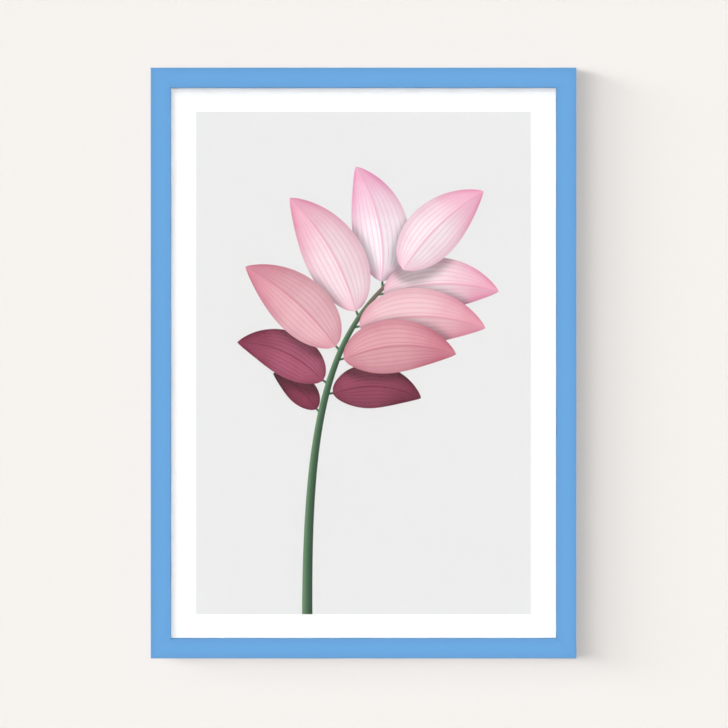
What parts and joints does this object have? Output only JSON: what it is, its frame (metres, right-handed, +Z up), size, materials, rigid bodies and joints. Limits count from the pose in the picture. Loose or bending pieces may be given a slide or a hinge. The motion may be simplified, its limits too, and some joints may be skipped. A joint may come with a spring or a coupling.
{
  "type": "framed art print",
  "caption": "Portrait art print behind clear glazing in a slim rounded wooden frame, with a hanger, wall bumpers and a back board held by turn buttons.",
  "frame": {"origin": "the hanger's middle notch, projected straight back onto the wall plane, on the centre line of the frame", "axes": "+X to the right seen from the front, +Y back into the wall, +Z up; the front of the frame faces -Y and the wall is the plane Y = 0"},
  "size_m": [0.317, 0.02, 0.44],
  "materials": {
    "painted_wood": "smooth satin paint, light sky blue",
    "clear_glazing": "clear float glass, polished",
    "printed_paper": "matt heavyweight paper with a white border and a pale grey printed field",
    "foam_board": "white paper-faced foam board",
    "hardboard": "brown pressed hardboard with a leathery back",
    "zinc_steel": "bright zinc-plated steel",
    "fastener_steel": "plain grey steel",
    "bumper_rubber": "translucent soft rubber"
  },
  "bodies": {
    "root": {"rail_top": "painted_wood", "rail_right": "painted_wood", "rail_bottom": "painted_wood", "rail_left": "painted_wood", "glazing_sheet": "clear_glazing", "art_print": "printed_paper", "filler_board": "foam_board", "back_board": "hardboard", "v_nail_top_right": "fastener_steel", "v_nail_bottom_right": "fastener_steel", "v_nail_bottom_left": "fastener_steel", "v_nail_top_left": "fastener_steel", "button_screw_top_left": "zinc_steel", "button_screw_top_right": "zinc_steel", "button_screw_right_upper": "zinc_steel", "button_screw_right_lower": "zinc_steel", "button_screw_bottom_right": "zinc_steel", "button_screw_bottom_left": "zinc_steel", "button_screw_left_lower": "zinc_steel", "button_screw_left_upper": "zinc_steel", "sawtooth_hanger": "zinc_steel", "hanger_nail_left": "fastener_steel", "hanger_nail_right": "fastener_steel", "bumper_left": "bumper_rubber", "bumper_right": "bumper_rubber"},
    "button_top_left": {"turn_button_top_left": "zinc_steel"},
    "button_top_right": {"turn_button_top_right": "zinc_steel"},
    "button_right_upper": {"turn_button_right_upper": "zinc_steel"},
    "button_right_lower": {"turn_button_right_lower": "zinc_steel"},
    "button_bottom_right": {"turn_button_bottom_right": "zinc_steel"},
    "button_bottom_left": {"turn_button_bottom_left": "zinc_steel"},
    "button_left_lower": {"turn_button_left_lower": "zinc_steel"},
    "button_left_upper": {"turn_button_left_upper": "zinc_steel"}
  },
  "joints": [
    {"name": "button_top_left_turn", "type": "hinge", "parent": "root", "child": "button_top_left", "pos_m": [-0.075, -0.0022, 0.0025], "axis": [0, 1, 0], "range_deg": [-90, 90]},
    {"name": "button_top_right_turn", "type": "hinge", "parent": "root", "child": "button_top_right", "pos_m": [0.075, -0.0022, 0.0025], "axis": [0, 1, 0], "range_deg": [-90, 90]},
    {"name": "button_right_upper_turn", "type": "hinge", "parent": "root", "child": "button_right_upper", "pos_m": [0.1535, -0.0022, -0.1025], "axis": [0, 1, 0], "range_deg": [-90, 90]},
    {"name": "button_right_lower_turn", "type": "hinge", "parent": "root", "child": "button_right_lower", "pos_m": [0.1535, -0.0022, -0.3225], "axis": [0, 1, 0], "range_deg": [-90, 90]},
    {"name": "button_bottom_right_turn", "type": "hinge", "parent": "root", "child": "button_bottom_right", "pos_m": [0.075, -0.0022, -0.4275], "axis": [0, 1, 0], "range_deg": [-90, 90]},
    {"name": "button_bottom_left_turn", "type": "hinge", "parent": "root", "child": "button_bottom_left", "pos_m": [-0.075, -0.0022, -0.4275], "axis": [0, 1, 0], "range_deg": [-90, 90]},
    {"name": "button_left_lower_turn", "type": "hinge", "parent": "root", "child": "button_left_lower", "pos_m": [-0.1535, -0.0022, -0.3225], "axis": [0, 1, 0], "range_deg": [-90, 90]},
    {"name": "button_left_upper_turn", "type": "hinge", "parent": "root", "child": "button_left_upper", "pos_m": [-0.1535, -0.0022, -0.1025], "axis": [0, 1, 0], "range_deg": [-90, 90]}
  ]
}
